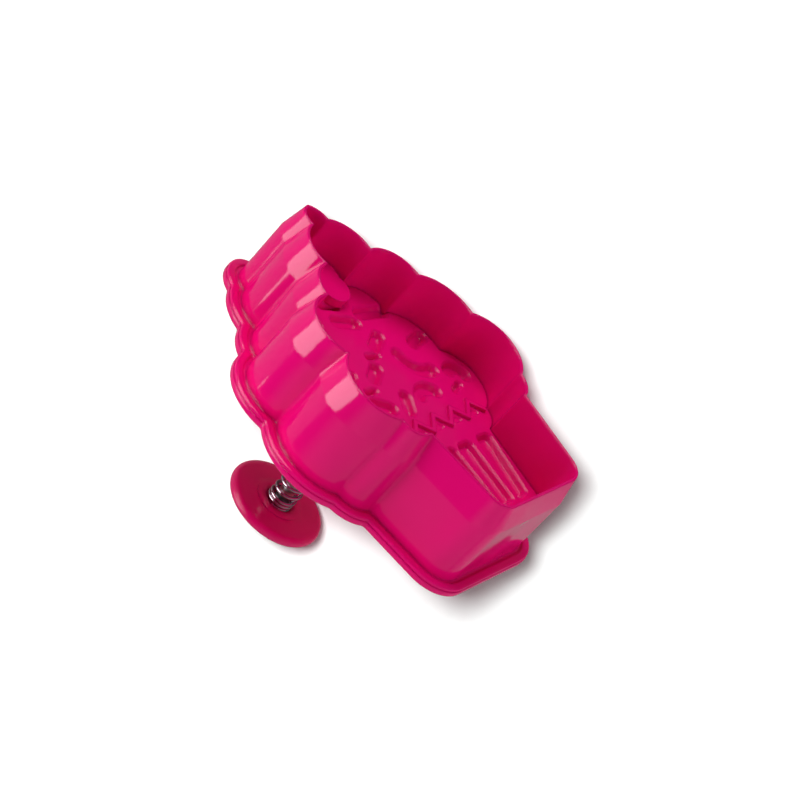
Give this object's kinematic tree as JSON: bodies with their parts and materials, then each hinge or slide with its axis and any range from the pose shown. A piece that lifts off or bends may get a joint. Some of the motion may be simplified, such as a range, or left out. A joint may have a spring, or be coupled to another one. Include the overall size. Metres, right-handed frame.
{
  "type": "plunger cutter",
  "caption": "Cupcake-shaped plunger cutter: bevelled cutting wall, flanged back plate, embossing stamp, and a sprung knob that pushes the stamp out.",
  "frame": {"origin": "centre of the base, in the plane of the cutting edge", "axes": "+Z from the cutting edge to the knob, along the plunger; +Y from the wrapper's end to the tip of the frosting"},
  "size_m": [0.0766, 0.1003, 0.0667],
  "materials": {
    "magenta_plastic": "gloss",
    "spring_wire": "polished",
    "stem_steel": "turned",
    "screw_steel": "satin"
  },
  "bodies": {
    "cutter": {"cutter_shell": "magenta_plastic", "back_plate": "magenta_plastic", "return_spring": "spring_wire"},
    "plunger": {"stamp_plate": "magenta_plastic", "plunger_stem": "stem_steel", "knob": "magenta_plastic", "knob_screw": "screw_steel"}
  },
  "joints": [
    {"name": "plunger_slide", "type": "slide", "parent": "cutter", "child": "plunger", "axis": [0, 0, -1], "range_m": [0, 0.011], "stiffness_N_per_m": 2500, "springref_m": -0.003, "deforming": ["return_spring"]}
  ]
}
